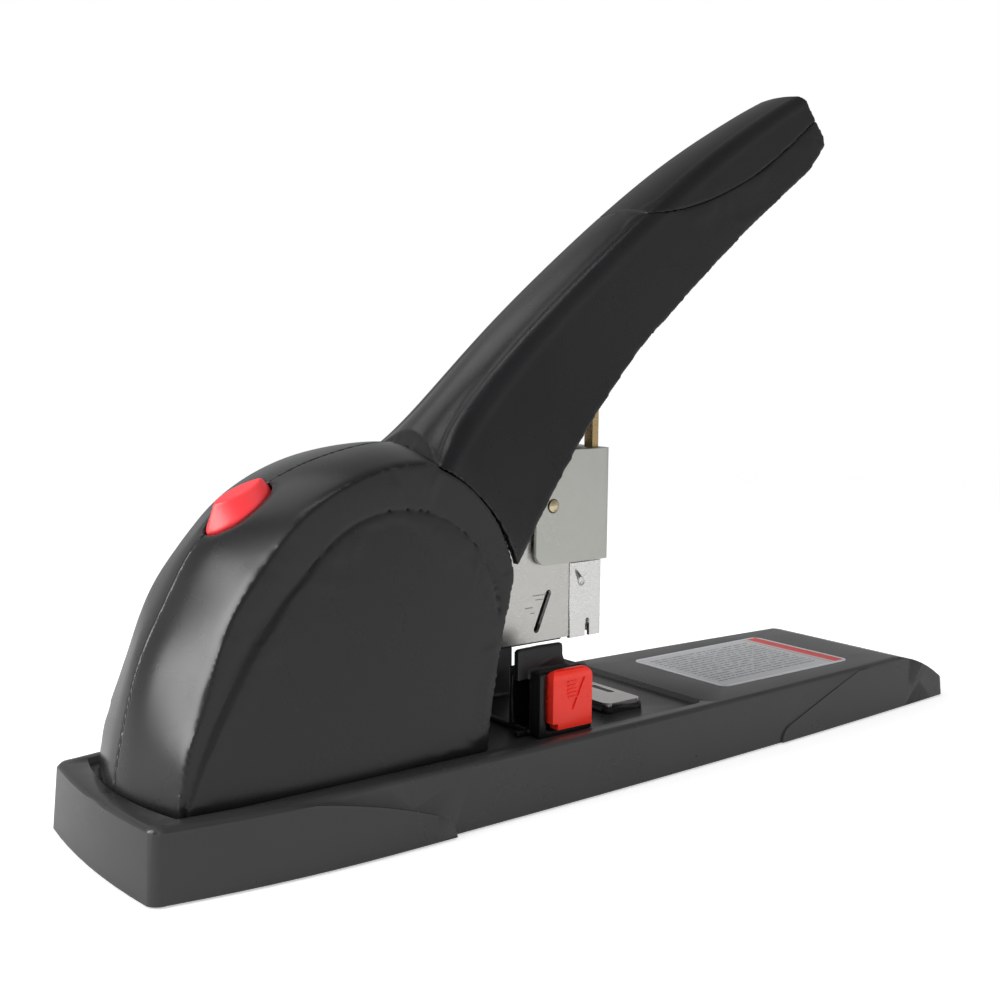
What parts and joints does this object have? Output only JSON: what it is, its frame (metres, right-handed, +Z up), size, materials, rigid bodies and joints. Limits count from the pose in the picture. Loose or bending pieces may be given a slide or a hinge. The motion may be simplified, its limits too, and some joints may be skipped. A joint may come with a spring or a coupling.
{
  "type": "heavy-duty stapler",
  "caption": "Heavy-duty desk stapler with a long press handle, a sheet-steel head that slides out to load, a sliding paper guide and red release buttons.",
  "frame": {"origin": "on the standing surface, under the middle of the base's length and width", "axes": "+X along the base from its rear end to its nose, +Y to the stapler's left, +Z up"},
  "size_m": [0.29, 0.0712, 0.1941],
  "materials": {
    "black_moulding": "satin black moulded plastic with a soft sheen",
    "black_trim": "matt black moulded plastic",
    "red_plastic": "glossy red moulded plastic",
    "rubber_grey": "dark rubber",
    "zinc_sheet": "zinc-plated sheet steel",
    "bright_steel": "bright nickel-plated sheet steel with fine handling marks",
    "anvil_steel": "ground and hardened steel",
    "pin_steel": "turned steel",
    "screw_steel": "zinc-plated screw steel",
    "spring_steel": "drawn spring wire",
    "staple_wire": "galvanised staple wire",
    "yellow_zinc": "yellow-passivated steel",
    "brass_rivet": "brass",
    "label_print": "printed metal label with a pale border"
  },
  "bodies": {
    "base": {"base_shell": "black_moulding", "bottom_plate": "zinc_sheet", "plate_screws": "screw_steel", "rubber_feet": "rubber_grey", "staple_chart_label": "label_print", "anvil_pad": "black_trim", "anvil_plate": "anvil_steel", "main_frame": "zinc_sheet", "frame_screws": "screw_steel", "hood_foot_screws": "screw_steel", "hood_right": "black_moulding", "hood_left": "black_moulding", "hood_cross_screws": "screw_steel", "handle_hinge_pins": "pin_steel", "retaining_rings": "spring_steel", "head_return_spring": "spring_steel", "handle_return_springs": "spring_steel", "release_spring": "spring_steel"},
    "handle": {"handle_shell": "black_moulding", "handle_grip_cap": "black_moulding", "handle_underside_cover": "black_trim", "grip_screws": "screw_steel", "handle_lever": "zinc_sheet", "lever_screws": "screw_steel"},
    "head": {"magazine_channel": "bright_steel", "magazine_liner": "black_trim", "head_guide_studs": "pin_steel", "latch_pin": "pin_steel"},
    "latch": {"magazine_latch": "spring_steel"},
    "drawer": {"nose_piece": "bright_steel", "staple_rail": "bright_steel", "pusher_guide_rod": "pin_steel", "staples": "staple_wire", "pusher_spring": "spring_steel"},
    "pusher": {"staple_pusher": "black_trim"},
    "driver": {"driver_sleeve": "bright_steel", "driver_block": "zinc_sheet", "driver_blade": "anvil_steel", "driver_strut": "yellow_zinc", "driver_rivets": "brass_rivet"},
    "release": {"release_button": "red_plastic"},
    "guide": {"paper_guide": "black_trim", "guide_spring_right": "spring_steel", "guide_spring_left": "spring_steel"},
    "right_button": {"guide_button_right": "red_plastic"},
    "left_button": {"guide_button_left": "red_plastic"}
  },
  "joints": [
    {"name": "handle_turn", "type": "hinge", "parent": "base", "child": "handle", "pos_m": [-0.076, 0, 0.054], "axis": [0, -1, 0], "range_deg": [-36, 0], "stiffness_Nm_per_rad": 1.5, "springref_deg": 51.57, "deforming": ["handle_return_springs"]},
    {"name": "head_lift", "type": "slide", "parent": "base", "child": "head", "axis": [0, 0, 1], "range_m": [-0.0182, 0], "deforming": ["head_return_spring"]},
    {"name": "driver_stroke", "type": "slide", "parent": "head", "child": "driver", "axis": [0, 0, 1], "range_m": [-0.0215, 0]},
    {"name": "drawer_slide", "type": "slide", "parent": "head", "child": "drawer", "axis": [1, 0, 0], "range_m": [0, 0.075]},
    {"name": "pusher_slide", "type": "slide", "parent": "drawer", "child": "pusher", "axis": [1, 0, 0], "range_m": [-0.045, 0], "stiffness_N_per_m": 25, "springref_m": 0.03, "deforming": ["pusher_spring"]},
    {"name": "release_push", "type": "slide", "parent": "base", "child": "release", "axis": [0.5446, 0, -0.8387], "range_m": [0, 0.003], "stiffness_N_per_m": 500, "springref_m": -0.002, "deforming": ["release_spring"]},
    {"name": "latch_tip", "type": "hinge", "parent": "head", "child": "latch", "pos_m": [-0.103, 0, 0.0553], "axis": [0, 1, 0], "range_deg": [0, 14.5]},
    {"name": "guide_slide", "type": "slide", "parent": "base", "child": "guide", "axis": [1, 0, 0], "range_m": [-0.006, 0.01]},
    {"name": "right_button_push", "type": "slide", "parent": "guide", "child": "right_button", "axis": [0, 1, 0], "range_m": [0, 0.002], "stiffness_N_per_m": 500, "springref_m": -0.002, "deforming": ["guide_spring_right"]},
    {"name": "left_button_push", "type": "slide", "parent": "guide", "child": "left_button", "axis": [0, -1, 0], "range_m": [0, 0.002], "stiffness_N_per_m": 500, "springref_m": -0.002, "deforming": ["guide_spring_left"]}
  ],
  "couplings": [
    {"joint": "head_lift", "follows": "handle_turn", "m_per_rad": 0.028966},
    {"joint": "driver_stroke", "follows": "handle_turn", "m_per_rad": 0.034218},
    {"joint": "latch_tip", "follows": "release_push", "rad_per_m": 83.3}
  ]
}
